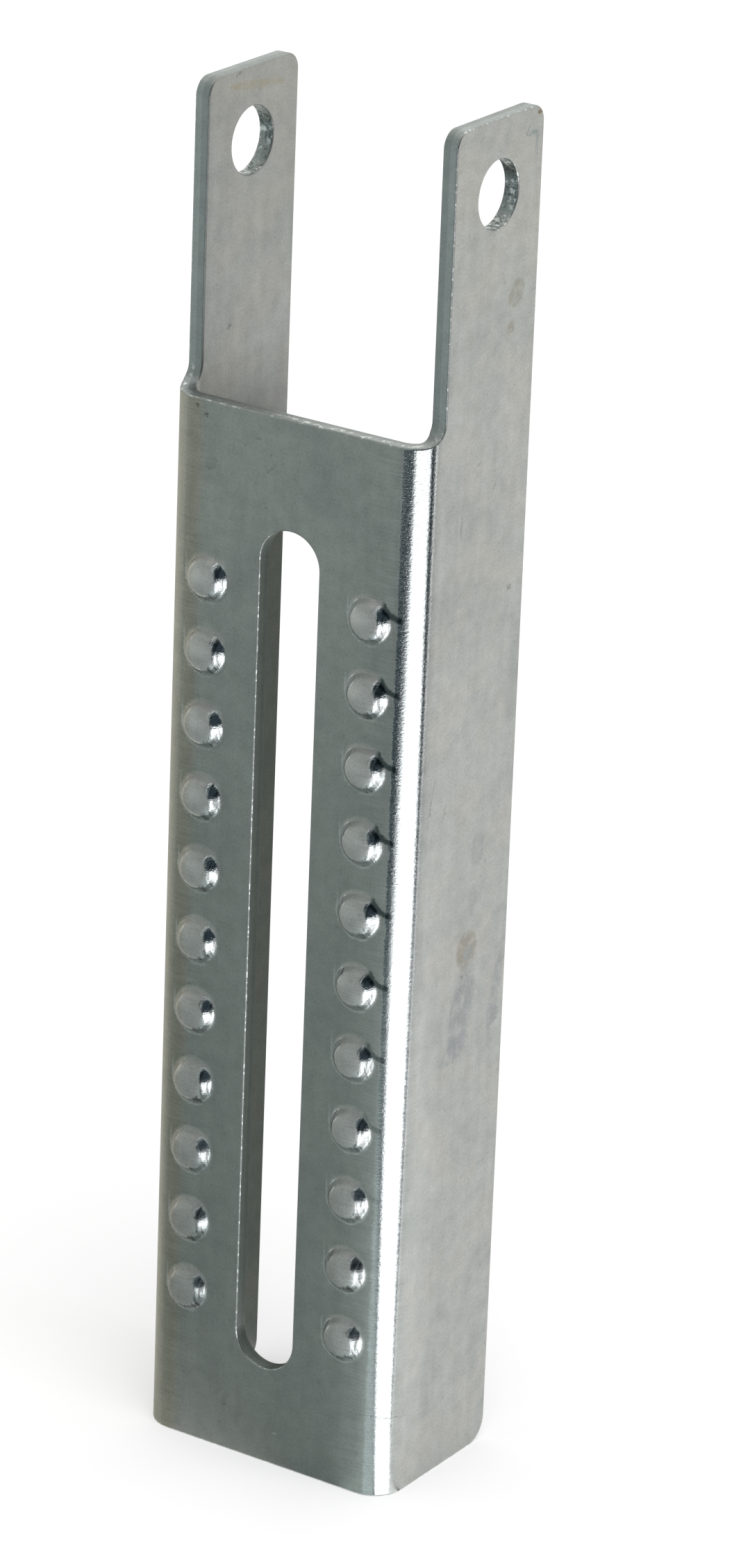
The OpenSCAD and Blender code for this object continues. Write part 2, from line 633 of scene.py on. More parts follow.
    def lattice(self, edges: np.ndarray, face: Face) -> np.ndarray:
        """Sets inner points of one face: close columns in the bends, wider ones in the flats, even rows.

        Args:
            edges: points of every edge, which the lattice keeps clear of.
            face: which face the points lie on.

        Returns:
            u and z of the points.
        """
        section, bend_columns, flange_columns, least_gap = self.section, 23, 12, 0.8
        flat = np.arange(0.0, section.half_web - 1.0, 2 * self.flat_step)
        bend = np.linspace(section.half_web, section.bend_end, bend_columns)
        flange = np.linspace(section.bend_end, section.rear, flange_columns)[1:-1]
        half = np.concatenate([flat, bend, flange])
        columns = np.concatenate([-half[:0:-1], half])
        rows = np.arange(2 * self.flat_step, self.top, 2 * self.flat_step)
        u, z = (a.ravel() for a in np.meshgrid(columns, rows))
        points = np.stack([u, z], axis=1)
        clear = np.full(len(points), np.inf)
        for block in np.array_split(edges, 8):
            apart = np.hypot(u[:, None] - block[:, 0], z[:, None] - block[:, 1])
            clear = np.minimum(clear, apart.min(axis=1))
        return points[(clear > least_gap) & self.is_metal(points, face)]

    def is_metal(self, points: np.ndarray, face: Face) -> np.ndarray:
        """Says which points lie on metal and outside every dimple's disc.

        Args:
            points: u and z.
            face: the face they lie on.

        Returns:
            True for each such point.
        """
        u, z = points.T
        section = self.section
        x = section.fold(u, self.depth(face))[0]
        centres = self.dimple_centres()
        near = np.hypot(x[:, None] - centres[:, 0], z[:, None] - centres[:, 1]).min(axis=1)
        up = z - np.clip(z, self.slot_mid - self.slot_reach, self.slot_mid + self.slot_reach)
        in_slot = np.hypot(u, up) < self.slot_radius + self.rim
        in_bore = np.hypot(np.abs(u) - self.bore_u, z - self.bore_z) < self.bore_radius + self.rim
        turn = section.turn(u)
        back = section.bend - (section.bend - section.thickness / 2) * np.cos(turn)
        back += np.maximum(np.abs(u) - section.bend_end, 0.0)
        into = np.maximum(back - (self.ear_front - self.notch), 0.0)
        above = np.hypot(into, np.maximum(self.web_height + self.notch - z, 0.0)) < self.notch + self.rim
        in_disc = section.faces_front(u) & (near < self.rings(face)[-1] * 0.9999)
        return ~(in_slot | in_bore | above | in_disc)

    def flat_face(self, face: Face) -> Surface:
        """Fills one face between its edges and its dimples with triangles, and folds it.

        Args:
            face: which face.

        Returns:
            The patch.
        """
        loops = [loop + self.into_metal(loop) * self.rim for loop in self.loops()]
        loops += [self.disc(centre, face)[-self.dimples.spokes:] for centre in self.dimple_centres()]
        starts = np.cumsum([0] + [len(loop) for loop in loops])
        edges = np.concatenate([
            start + np.stack([np.arange(len(loop)), (np.arange(len(loop)) + 1) % len(loop)], axis=1)
            for start, loop in zip(starts, loops)
        ])
        rims = np.concatenate(loops)
        points = np.concatenate([rims, self.lattice(rims, face)])
        made = delaunay_2d_cdt(points.tolist(), edges.tolist(), [], 1, 1e-4, False)
        flat, triangles = np.array(made[0]), np.array(made[2])
        sound = slimness(flat[triangles]) > 0.02
        triangles = triangles[self.is_metal(flat[triangles].mean(axis=1), face) & sound]
        used, numbers = np.unique(triangles, return_inverse=True)
        nearest = np.minimum(used, len(points) - 1)
        flat = np.where((used < len(points))[:, None], points[nearest], flat[used])
        surface = self.lay(flat, face)
        surface.triangles = numbers.reshape(-1, 3)
        return surface

    def cut_edge(self, loop: np.ndarray) -> Surface:
        """Makes the wall of one cut edge with both its corners rounded.

        Across the edge the profile is a quarter circle, a straight wall and a quarter circle. At an angle
        on a quarter circle the point lies one rim radius times (1 - sine) inside the edge and one rim
        radius times (1 - cosine) below the face.

        Args:
            loop: u and z of the edge, with the metal on its right.

        Returns:
            The wall as a closed band of quads.
        """
        section, rim = self.section, self.rim
        inward = self.into_metal(loop)
        angle = np.linspace(0.0, QUARTER, 5)
        inset = rim * (1 - np.sin(angle))
        below = rim * (1 - np.cos(angle))
        inset = np.concatenate([inset, inset[::-1]])
        depth = np.concatenate([below, section.thickness - below[::-1]])
        face_share = np.concatenate([np.cos(angle), -np.cos(angle[::-1])])
        edge_share = np.concatenate([np.sin(angle), np.sin(angle[::-1])])
        flat = loop[None] + inward[None] * inset[:, None, None]
        u, z = flat[..., 0], flat[..., 1]
        x, y, nx, ny = section.fold(u, depth[:, None])
        along = np.stack([-ny, nx, np.zeros_like(nx)], axis=-1)
        up = np.array([0.0, 0.0, 1.0])
        out = -(inward[None, :, :1] * along + inward[None, :, 1:] * up)
        face = np.stack([nx, ny, np.zeros_like(nx)], axis=-1)
        normal = face * face_share[:, None, None] + out * edge_share[:, None, None]
        normal /= np.linalg.norm(normal, axis=-1, keepdims=True)
        rows, count = u.shape
        here = np.arange(count)
        after = (here + 1) % count
        first = count * np.arange(rows - 1)[:, None]
        corners = [first + here, first + after, first + count + after, first + count + here]
        quads = np.stack(corners, axis=-1).reshape(-1, 4)
        depths = np.broadcast_to(depth[:, None], u.shape)
        return Surface(
            np.stack([u, z, depths], axis=-1).reshape(-1, 3), np.stack([x, y, z], axis=-1).reshape(-1, 3),
            normal.reshape(-1, 3), quads=quads,
        )

    def surfaces(self) -> list[Surface]:
        """Lists every patch of the sheet: two faces, their dimples and dishes, and the cut edges.

        Returns:
            The patches, not yet joined.
        """
        made = [self.cut_edge(loop) for loop in self.loops()]
        for face in Face:
            made.append(self.flat_face(face))
            made += self.dimple_faces(face)
        return made

    def build(self) -> bpy.types.Object:
        """Joins the patches into one closed mesh, in the place of the CAD solid.

        Returns:
            The object.
        """
        piece = join("bracket_sheet", self.surfaces(), self.section)
        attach(piece, "root")
        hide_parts("bracket")
        return piece


def join(name: str, surfaces: list[Surface], section: Section) -> bpy.types.Object:
    """Makes one mesh of many patches.

    Points at the same place become one. A face whose own normal, the cross product of its diagonals or
    sides, points against its points' normals is turned round.

    Args:
        name: name of the object.
        surfaces: the patches.
        section: the folded section, for the masks.

    Returns:
        The object, with the attributes unrolled, rub and cut.
    """
    starts = np.cumsum([0] + [len(s.place) for s in surfaces])
    place = np.concatenate([s.place for s in surfaces])
    flat = np.concatenate([s.flat for s in surfaces])
    normal = np.concatenate([s.normal for s in surfaces])
    keys = np.round(place, 3)
    _, first, number = np.unique(keys, axis=0, return_index=True, return_inverse=True)
    number = number.reshape(-1)
    place, flat, normal = place[first], flat[first], normal[first]
    groups = []
    for size in (3, 4):
        faces = np.concatenate([
            start + (s.triangles if size == 3 else s.quads) for start, s in zip(starts, surfaces)
        ])
        faces = number[faces.astype(int)]
        corners = place[faces]
        own = np.cross(corners[:, 1] - corners[:, 0], corners[:, 2] - corners[:, 0])
        whole = np.linalg.norm(own, axis=1) > 1e-7
        turned = (own * normal[faces].sum(axis=1)).sum(axis=1) < 0
        groups.append(np.where(turned[:, None], faces[:, ::-1], faces)[whole])
    mesh = bpy.data.meshes.new(name)
    sizes = np.concatenate([np.full(len(g), g.shape[1]) for g in groups])
    mesh.vertices.add(len(place))
    mesh.vertices.foreach_set("co", (place * MM).astype(np.float32).ravel())
    mesh.loops.add(int(sizes.sum()))
    mesh.loops.foreach_set("vertex_index", np.concatenate([g.ravel() for g in groups]).astype(np.int32))
    mesh.polygons.add(len(sizes))
    mesh.polygons.foreach_set("loop_start", (np.cumsum(sizes) - sizes).astype(np.int32))
    mesh.polygons.foreach_set("use_smooth", np.ones(len(sizes), bool))
    mesh.update(calc_edges=True)
    mesh.validate()
    mesh.normals_split_custom_set_from_vertices(normal.tolist())
    for key, values in masks(flat, normal, section).items():
        kind, slot = ("FLOAT_VECTOR", "vector") if values.ndim == 2 else ("FLOAT", "value")
        attribute = mesh.attributes.new(key, kind, "POINT")
        attribute.data.foreach_set(slot, values.astype(np.float32).ravel())
    piece = bpy.data.objects.new(name, mesh)
    bpy.context.scene.collection.objects.link(piece)
    LOG.info("%s: %d points, %d triangles and %d quads", name, len(place), *(len(g) for g in groups))
    return piece


def masks(flat: np.ndarray, normal: np.ndarray, section: Section) -> dict[str, np.ndarray]:
    """Works out what the finish needs to know at each point.

    The rub is a share of 45 degrees: in a bend the angle turned, or what is left of 77 degrees and a
    little more towards the top, in a dimple half of its slope, which fades where it faces up. Only the
    outer face gets a rub. The cut share is 1 on an edge's wall and 0 on a face.

    Args:
        flat: u, z and depth of each point.
        normal: unit normals.
        section: the folded section.

    Returns:
        The unrolled place, the rub and the cut share.
    """
    turned = np.degrees(section.turn(flat[:, 0]))
    bend_starts, full_rub = 12.0, 45.0
    rub_ends = 77.0 + 0.055 * flat[:, 1]
    bent = np.minimum(turned, rub_ends - turned)
    pressed = np.degrees(np.arccos(np.clip(-normal[:, 1], -1.0, 1.0)))
    facing_up = normal[:, 2] / np.maximum(np.sqrt(1.0 - np.minimum(normal[:, 1] ** 2, 1.0)), 0.05)
    pressed = 0.5 * pressed * (1.0 - smoothstep(facing_up, 0.72, 0.95))
    on_outer = flat[:, 2] < 0.01
    rub = np.where(turned < bend_starts, pressed, bent) / full_rub * on_outer
    middle, soft = section.thickness / 2, 0.3
    cut = 1.0 - smoothstep(np.abs(flat[:, 2] - middle), middle - soft, middle)
    return {"unrolled": flat, "rub": rub, "cut": cut}


class Signal:
    """A number that changes over a surface. Python's operators add the Math nodes that work it out."""

    def __init__(self, graph: "Graph", socket: bpy.types.NodeSocket) -> None:
        """Wraps one output socket of a graph's node."""
        self.graph = graph
        self.socket = socket

    def math(self, operation: str, *others: "Signal | float", clamp: bool = False) -> "Signal":
        """Adds a Math node whose first input is this signal.

        Args:
            operation: name of the Math node's operation.
            others: the other inputs.
            clamp: whether the result is kept between 0 and 1.

        Returns:
            The node's result.
        """
        settings = {"operation": operation, "use_clamp": clamp}
        node = self.graph.add("ShaderNodeMath", settings, dict(enumerate((self, *others))))
        return Signal(self.graph, node.outputs[0])

    def __add__(self, other: "Signal | float") -> "Signal":
        """Adds."""
        return self.math("ADD", other)

    __radd__ = __add__

    def __mul__(self, other: "Signal | float") -> "Signal":
        """Multiplies."""
        return self.math("MULTIPLY", other)

    __rmul__ = __mul__

    def __sub__(self, other: "Signal | float") -> "Signal":
        """Subtracts other from this."""
        return self.math("SUBTRACT", other)

    def __rsub__(self, other: float) -> "Signal":
        """Subtracts this from a number."""
        return self.math("MULTIPLY_ADD", -1.0, other)

    def __truediv__(self, other: "Signal | float") -> "Signal":
        """Divides."""
        return self.math("DIVIDE", other)

    def __pow__(self, other: float) -> "Signal":
        """Raises to a power."""
        return self.math("POWER", other)

    def __abs__(self) -> "Signal":
        """Drops the sign."""
        return self.math("ABSOLUTE")

    @property
    def swing(self) -> "Signal":
        """Gives how far a noise lies from its middle, from -0.5 to 0.5."""
        return self - 0.5

    def clamped(self) -> "Signal":
        """Keeps the signal between 0 and 1."""
        return self.math("ADD", 0.0, clamp=True)

    def most(self, other: "Signal") -> "Signal":
        """Takes the larger of two signals."""
        return self.math("MAXIMUM", other)

    def graded(self, low: float, high: float) -> "Signal":
        """Rises smoothly from 0 at low to 1 at high. With low above high it falls.

        Args:
            low: signal at which the result is 0.
            high: signal at which the result is 1.

        Returns:
            A signal from 0 to 1.
        """
        settings = {"interpolation_type": "SMOOTHSTEP"}
        values = {"Value": self, "From Min": min(low, high), "From Max": max(low, high)}
        ends = {"To Min": 0.0, "To Max": 1.0} if low < high else {"To Min": 1.0, "To Max": 0.0}
        node = self.graph.add("ShaderNodeMapRange", settings, values | ends)
        return Signal(self.graph, node.outputs[0])


@dataclass(frozen=True)
class Noise:
    """A cloudy pattern over the unrolled sheet.

    Attributes:
        scale: how many clouds there are to a millimetre along u, z and depth.
        shift: moves the pattern, so that two patterns differ.
        detail: how many finer patterns are added.
        span: noise at which the result is 0 and 1, or nothing to leave it as it is.
        lean: angle by which the pattern is turned on the sheet, in radians.
    """

    scale: Triple
    shift: float
    detail: float = 3.0
    span: tuple[float, float] | None = None
    lean: float = 0.0


class Graph:
    """One tree of shader nodes."""

    def __init__(self, tree: bpy.types.NodeTree) -> None:
        """Empties the tree."""
        self.tree = tree
        tree.nodes.clear()

    def add(
        self, kind: str, settings: dict[str, object] | None = None,
        inputs: dict[str | int, object] | None = None,
    ) -> bpy.types.Node:
        """Adds one node.

        Args:
            kind: the node's type.
            settings: its properties, which are set first.
            inputs: the values of its sockets, or what they are linked to.

        Returns:
            The node.
        """
        node = self.tree.nodes.new(kind)
        for key, value in (settings or {}).items():
            setattr(node, key, value)
        for key, value in (inputs or {}).items():
            source = value.socket if isinstance(value, Signal) else value
            if isinstance(source, bpy.types.NodeSocket):
                self.tree.links.new(source, node.inputs[key])
            else:
                node.inputs[key].default_value = source
        return node

    def attribute(self, name: str) -> Signal:
        """Reads a number that is stored on the piece."""
        return Signal(self, self.add("ShaderNodeAttribute", {"attribute_name": name}).outputs["Fac"])

    def place(self, name: str) -> tuple[bpy.types.NodeSocket, Signal, Signal, Signal]:
        """Reads a place that is stored on the piece, whole and as its three parts.

        Args:
            name: name of the stored place.

        Returns:
            The place's socket, and its three parts as signals.
        """
        vector = self.add("ShaderNodeAttribute", {"attribute_name": name}).outputs["Vector"]
        parts = self.add("ShaderNodeSeparateXYZ", inputs={0: vector}).outputs
        return vector, *(Signal(self, part) for part in parts)

    def noise(self, place: bpy.types.NodeSocket, kind: Noise) -> Signal:
        """Gives a cloudy noise from 0 to 1.

        Args:
            place: where on the surface.
            kind: the pattern.

        Returns:
            The noise.
        """
        if kind.lean:
            turn = {"Vector": place, "Angle": kind.lean}
            place = self.add("ShaderNodeVectorRotate", inputs=turn).outputs[0]
        values = {0: place, 1: kind.scale, 2: (kind.shift, kind.shift, kind.shift)}
        moved = self.add("ShaderNodeVectorMath", {"operation": "MULTIPLY_ADD"}, values).outputs[0]
        values = {"Vector": moved, "Scale": 1.0, "Detail": kind.detail, "Roughness": 0.55}
        made = Signal(self, self.add("ShaderNodeTexNoise", inputs=values).outputs[0])
        return made.graded(*kind.span) if kind.span else made

    def mix(self, a: object, b: object, share: Signal) -> bpy.types.NodeSocket:
        """Mixes two colours.

        Args:
            a: the colour where share is 0.
            b: the colour where share is 1.
            share: how much of b there is.

        Returns:
            The mixed colour.
        """
        values = {0: share, 6: opaque(a), 7: opaque(b)}
        return self.add("ShaderNodeMix", {"data_type": "RGBA"}, values).outputs[2]

    def shade(self, colour: bpy.types.NodeSocket, amount: Signal) -> bpy.types.NodeSocket:
        """Multiplies a colour by a signal."""
        values = {0: colour, "Scale": amount}
        return self.add("ShaderNodeVectorMath", {"operation": "SCALE"}, values).outputs[0]


def opaque(colour: object) -> object:
    """Gives a written colour its alpha of 1, and leaves a socket as it is."""
    return (*colour, 1.0) if isinstance(colour, tuple) and len(colour) == 3 else colour


class Part(Enum):
    """Where a mark lies: its side of the middle, whether on the inner face, and whether on a flange."""

    WEB = (1.0, False, False)
    RIGHT = (1.0, False, True)
    LEFT_INSIDE = (-1.0, True, True)

    def __init__(self, side: float, inner: bool, flange: bool) -> None:
        """Names the parts of the value.

        Args:
            side: 1 on the web and the right half, -1 on the left half.
            inner: whether it is on the inner face.
            flange: whether it is on a flange or an ear.
        """
        self.side = side
        self.inner = inner
        self.flange = flange


@dataclass(frozen=True)
class Mark:
    """A stain, scratch or speck on the sheet.

    Attributes:
        part: where it lies.
        middle: X on the web, or distance behind the web's outer face on a flange, and Z.
        half: half its length and half its width.
        colour: its colour.
        share: how much it covers.
        lean: angle of its length above the level, in degrees.
    """

    part: Part
    middle: tuple[float, float]
    half: tuple[float, float]
    colour: Colour
    share: float = 0.6
    lean: float = 0.0


BROWN, DARK, SMOKE = (0.24, 0.19, 0.12), (0.10, 0.10, 0.095), (0.335, 0.35, 0.355)
PALE, YELLOW = (0.80, 0.82, 0.82), (0.43, 0.39, 0.27)
RUST, TEAL = (0.335, 0.315, 0.265), (0.22, 0.29, 0.31)
MARKS = (
    Mark(Part.RIGHT, (21.0, 107.0), (3.9, 3.4), RUST, 0.8, 84.0),
    Mark(Part.RIGHT, (21.8, 106.0), (1.9, 1.4), SMOKE, 0.8, 20.0),
    Mark(Part.RIGHT, (20.0, 94.6), (9.6, 3.9), SMOKE, 0.8, 78.0),
    Mark(Part.RIGHT, (18.2, 87.6), (5.2, 2.2), SMOKE, 0.7, 24.0),
    Mark(Part.RIGHT, (31.6, 95.3), (8.4, 1.6), SMOKE, 0.7, 77.0),
    Mark(Part.RIGHT, (31.9, 90.0), (1.9, 1.5), SMOKE, 0.8, 60.0),
    Mark(Part.RIGHT, (23.4, 126.5), (3.4, 2.2), SMOKE, 0.45, 85.0),
    Mark(Part.RIGHT, (22.6, 116.5), (3.0, 1.6), SMOKE, 0.35, 85.0),
    Mark(Part.RIGHT, (6.8, 140.0), (5.2, 0.14), DARK, 0.5, 80.0),
    Mark(Part.RIGHT, (11.6, 137.5), (2.2, 0.14), DARK, 0.45, 65.0),
    Mark(Part.RIGHT, (28.0, 232.7), (3.0, 2.4), RUST, 0.6, 50.0),
    Mark(Part.RIGHT, (26.6, 226.5), (1.6, 1.2), RUST, 0.6, 40.0),
    Mark(Part.RIGHT, (19.6, 101.8), (0.7, 0.35), DARK, 0.6, 20.0),
    Mark(Part.RIGHT, (33.6, 265.8), (1.3, 0.9), BROWN, 0.9, 45.0),
    Mark(Part.RIGHT, (31.0, 261.8), (1.5, 0.5), TEAL, 0.6, 10.0),
    Mark(Part.RIGHT, (32.6, 259.8), (0.5, 2.4), TEAL, 0.5, 0.0),
    Mark(Part.RIGHT, (29.6, 262.4), (1.0, 0.3), DARK, 0.5, 60.0),
    Mark(Part.RIGHT, (17.6, 202.5), (1.7, 0.2), DARK, 0.3, 25.0),
    Mark(Part.RIGHT, (23.5, 197.3), (1.4, 0.18), DARK, 0.3, 60.0),
    Mark(Part.RIGHT, (30.1, 176.1), (0.9, 0.6), DARK, 0.4, 0.0),
    Mark(Part.RIGHT, (13.2, 192.1), (2.2, 0.25), DARK, 0.3, 88.0),
    Mark(Part.WEB, (-5.0, 198.8), (2.3, 0.18), DARK, 0.35, 49.0),
    Mark(Part.WEB, (-17.7, 197.7), (1.6, 1.2), DARK, 0.22, 40.0),
    Mark(Part.WEB, (-21.1, 208.0), (0.4, 0.4), DARK, 0.7, 0.0),
    Mark(Part.WEB, (-19.1, 206.6), (0.5, 0.4), DARK, 0.7, 30.0),
    Mark(Part.WEB, (-10.2, 202.9), (0.7, 0.3), DARK, 0.3, 50.0),
    Mark(Part.WEB, (-7.6, 204.5), (0.5, 0.3), DARK, 0.3, 10.0),
    Mark(Part.WEB, (-8.3, 10.6), (2.0, 0.7), BROWN, 0.2, 60.0),
    Mark(Part.WEB, (-10.4, 11.4), (1.8, 0.5), BROWN, 0.2, 50.0),
    Mark(Part.WEB, (-9.2, 9.4), (2.4, 0.4), BROWN, 0.18, -10.0),
    Mark(Part.WEB, (27.5, 16.6), (5.0, 0.14), DARK, 0.5, -6.0),
    Mark(Part.WEB, (3.0, 6.9), (0.4, 0.35), PALE, 0.9, 0.0),
    Mark(Part.LEFT_INSIDE, (21.6, 263.0), (9.2, 0.9), YELLOW, 0.6, -6.4),
    Mark(Part.LEFT_INSIDE, (15.9, 266.0), (1.2, 0.25), DARK, 0.4, 10.0),
    Mark(Part.LEFT_INSIDE, (15.0, 218.6), (0.9, 0.5), DARK, 0.4, 30.0),
)

NOISES = {
    "clouds": Noise((0.06, 0.06, 0.06), 3.0),
    "mottle": Noise((0.32, 0.32, 0.32), 5.0, 4.0),
    "rubs": Noise((0.12, 3.2, 0.3), 11.0, 4.0),
    "grain": Noise((2.2, 2.2, 2.2), 7.0, 2.0),
    "teeth": Noise((1.5, 2.2, 1.5), 19.0, 5.0),
    "specks": Noise((5.0, 5.0, 5.0), 97.0, 1.0),
    "streaks": Noise((0.4, 0.035, 0.4), 53.0),
    "tints": Noise((0.08, 0.08, 0.08), 71.0, 4.0),
    "stripes": Noise((1.9, 0.2, 1.0), 83.0, 2.0, (0.50, 0.60)),
    "flecks": Noise((2.6, 0.6, 1.0), 31.0, 2.0, (0.66, 0.78)),
    "pits": Noise((0.8, 0.8, 0.8), 61.0, 5.0, (0.60, 0.72)),
    # beads: where the painted highlights on the cut edges fall.
    "beads": Noise((0.9, 0.9, 0.9), 41.0, 3.0, (0.53, 0.60)),
    "blotches": Noise((0.55, 0.4, 0.5), 47.0, 4.0, (0.36, 0.56)),
    "scuffs": Noise((0.09, 2.6, 0.5), 23.0, 2.0, (0.60, 0.70), -0.4),
}


class Coat:
    """What the finish reads at each point of the sheet, as signals of one graph. Masks run from 0 to 1.

    Attributes:
        graph: the material's graph.
        section: the folded section.
        z: height.
        mark_u: place across the sheet, made ragged for the marks.
        mark_z: height, made ragged for the marks.
        noise: the patterns, by their names in NOISES.
        cut: mask of the cut edges' walls.
        inner: mask of the inner face.
        outer: mask of the outer face.
        hollow: mask of what lies inside the channel, without the ears, where the tone paints shade.
        side: mask of the flanges and ears.
        front: mask of the web and its dimples.
        near_bend: mask of the outer parts of the web and the first parts of the bends.
        film: mask of the thin film on the left bend.
        burnish: mask of what the dies have polished.
        painted_glow: mask of the painted highlight on both sides of the right bend, which fades towards the
            top.
        strip: mask of the speckled first half of the bends.
        crown: mask of the dimples' crowns, which carry a painted sheen.
        crease: mask of the painted pale reflection along the creases beside the dimples.
        link: mask of the painted dark reflection between the right dimples and the bend.
        bore: mask of the bores' walls.
        glint: mask of the painted highlights, small bright dots on the cut edges.
    """

    def __init__(self, graph: Graph, bracket: Bracket) -> None:
        """Adds the nodes that work the signals out.

        Args:
            graph: the material's graph.
            bracket: the bracket, for the places of its dimples, bends and bores.
        """
        section = bracket.section
        web_end, bend_end = section.half_web, section.bend_end
        self.graph, self.section = graph, section
        place, u, z, depth = graph.place("unrolled")
        rub, self.cut = graph.attribute("rub"), graph.attribute("cut")
        self.noise = SimpleNamespace(**{name: graph.noise(place, kind) for name, kind in NOISES.items()})
        self.z = z
        self.mark_u, self.mark_z = self.ragged(u, 1.6), self.ragged(z, -1.6)

        self.inner = depth.graded(1.5, 1.7)
        self.outer = (1.0 - self.inner) * (1.0 - self.cut)
        # hollow marks where shade is painted: the inner part of the sheet below the ears.
        self.hollow = depth.graded(0.2, 0.8) * z.graded(216.0, 198.0)
        self.side = abs(u).graded(bend_end - 3.0, bend_end)
        self.front = abs(u).graded(web_end + 1.0, web_end)
        self.near_bend = abs(u).graded(13.0, web_end) * (1.0 - self.side) * self.outer
        self.film = u.graded(-web_end + 3.4, -web_end + 0.2) * self.outer
        toothed = rub + self.noise.teeth.swing * 0.26
        self.burnish = toothed.graded(0.27, 0.41) * (1.0 - self.film * 0.7)
        # Painted highlight beside the right bend, as if from the bright band, fading towards the top.
        beside_right_bend = u.graded(web_end - 6.5, web_end + 1.5) * u.graded(bend_end + 11.0, bend_end - 3.0)
        self.painted_glow = beside_right_bend * z.graded(170.0, 70.0) * (1.0 - self.burnish) * self.outer
        self.strip = abs(u).graded(web_end + 4.0, web_end + 2.8) * self.burnish * z.graded(40.0, 110.0)
        wavy = self.ragged(u, 0.48), self.ragged(z, 0.48)
        # The crowns carry a painted sheen, the creases a painted pale reflection and the links a painted
        # dark reflection.
        self.crown, self.crease, self.link = self.pressed(*wavy, bracket)

        radius = bracket.bore_radius
        across, up = abs(u) - bracket.bore_u, z - bracket.bore_z
        # The bores' walls take painted dark reflections and painted highlights.
        self.bore = self.cut * ((across * across + up * up) ** 0.5).graded(radius + 0.9, radius + 0.5)
        rim = self.cut * (1.0 - self.cut) * 4.0 * depth.graded(1.2, 0.6)
        height = bracket.web_height
        level = z.graded(height - 2.5, height - 1.0) * z.graded(height + 4.5, height + 2.5)
        upper_edge = self.cut * depth.graded(2.2, 0.9) * level
        # Painted highlights in small dots on the cut edges' rims, the web's upper edge and the bores.
        self.glint = (rim.most(upper_edge).most(self.bore * 0.8) * self.noise.beads).clamped()

    def ragged(self, place: Signal, reach: float) -> Signal:
        """Moves a place by the grain and the mottle, by up to reach, so that edges turn ragged."""
        return place + (self.noise.grain.swing + self.noise.mottle.swing) * reach

    def pressed(self, u: Signal, z: Signal, bracket: Bracket) -> tuple[Signal, Signal, Signal]:
        """Gives the smooth crowns of the dimples, the creases beside them and the painted dark reflection
        towards a bend.

        A crown's edge is a half circle below the dimple's centre and goes straight up above it, where it
        fades out. The painted dark reflection of the right column follows a hyperbola from the dimple's
        upper
        right down to the bend: the product of the way out and the way up stays the same.

        Args:
            u: place across the sheet.
            z: height.
            bracket: the bracket, for its dimples.

        Returns:
            The crowns, the creases and the painted dark reflection.
        """
        dimples, product = bracket.dimples, 5.3
        half, foot = dimples.pitch / 2, dimples.foot
        top = dimples.lowest + (dimples.rows - 1) * dimples.pitch
        rows = z.graded(dimples.lowest - half, dimples.lowest - half + 0.1)
        rows = rows * z.graded(top + half, top + half - 0.1)
        across = u - u.math("SIGN") * bracket.dimple_x
        up = z.math("WRAP", dimples.lowest + half, dimples.lowest - half) - dimples.lowest
        low = up.math("MINIMUM", 0.0)
        edge = (across * across + low * low) ** 0.5
        fade = up.graded(foot, 0.6) * rows
        crease = (1.0 - abs(edge - foot * 0.95) / 0.32).clamped() * (across + low * 0.8).graded(-0.5, -2.5)
        out = across - 1.5
        off = abs(out * up - product) / (out * out + up * up) ** 0.5
        link = off.graded(0.75, 0.3) * across.graded(2.3, 3.2) * across.graded(7.2, 6.2) * rows
        link = link * up.graded(4.6, 3.6) * z.graded(35.0, 120.0) * u.graded(0.0, 1.0)
        return edge.graded(4.5, 3.2) * fade, crease * fade, link

    def spot(self, mark: Mark) -> Signal:
        """Gives a mark's blotchy cover: 1 less the squares of the way out along and across it, made steep.

        Args:
            mark: the mark.

        Returns:
            A mask of the mark.
        """
        part, middle = mark.part, mark.middle[0]
        if part.flange:
            middle = part.side * (self.section.bend_end + middle - self.section.bend)
        level, up = math.cos(math.radians(mark.lean)), math.sin(math.radians(mark.lean))
        right, rise = (self.mark_u - middle) * part.side, self.mark_z - mark.middle[1]
        along = (right * level + rise * up) / mark.half[0]
        over = (rise * level - right * up) / mark.half[1]
        face = self.inner if part.inner else self.outer
        inside = (1.0 - along * along - over * over).graded(-0.25, 0.35)
        return inside * face * (0.35 + self.noise.blotches * 0.65)


@dataclass(frozen=True)
class Tones:
    """How much each pattern or mask brightens (or, where it is named as a loss, darkens) the zinc.

    Attributes:
        grain: swing of the fine grain.
        mottle: swing of the mottle.
        rubs: swing of the fine level lines.
        rubs_near_bend: more of it near a bend.
        streaks: swing of the upright streaks.
        tints: swing of the wide clouds on the flanges.
        scuffs: gain of the leaning scratches on the flanges.
        painted_glow: gain of the painted highlight beside the right bend.
        fleck_loss: loss of the short dark flecks.
        pit_loss: loss of the pits.
        stripe_loss: loss of the upright stripes where the burnish starts.
        inner_shade_loss: loss of the inner face, which is painted shade.
        hollow_shade_loss: further loss inside the channel, which is painted shade.
        crown: gain of a crown for each millimetre above crown_level, a painted sheen that is brighter higher
            up.
        crown_level: height at which a crown has no gain.
    """

    grain: float = 0.42
    mottle: float = 0.36
    rubs: float = 0.10
    rubs_near_bend: float = 0.5
    streaks: float = 0.2
    tints: float = 0.14
    scuffs: float = 0.07
    painted_glow: float = 0.20
    fleck_loss: float = 0.16
    pit_loss: float = 0.12
    stripe_loss: float = 0.55
    inner_shade_loss: float = 0.16
    hollow_shade_loss: float = 0.3
    crown: float = 0.0016
    crown_level: float = 110.0


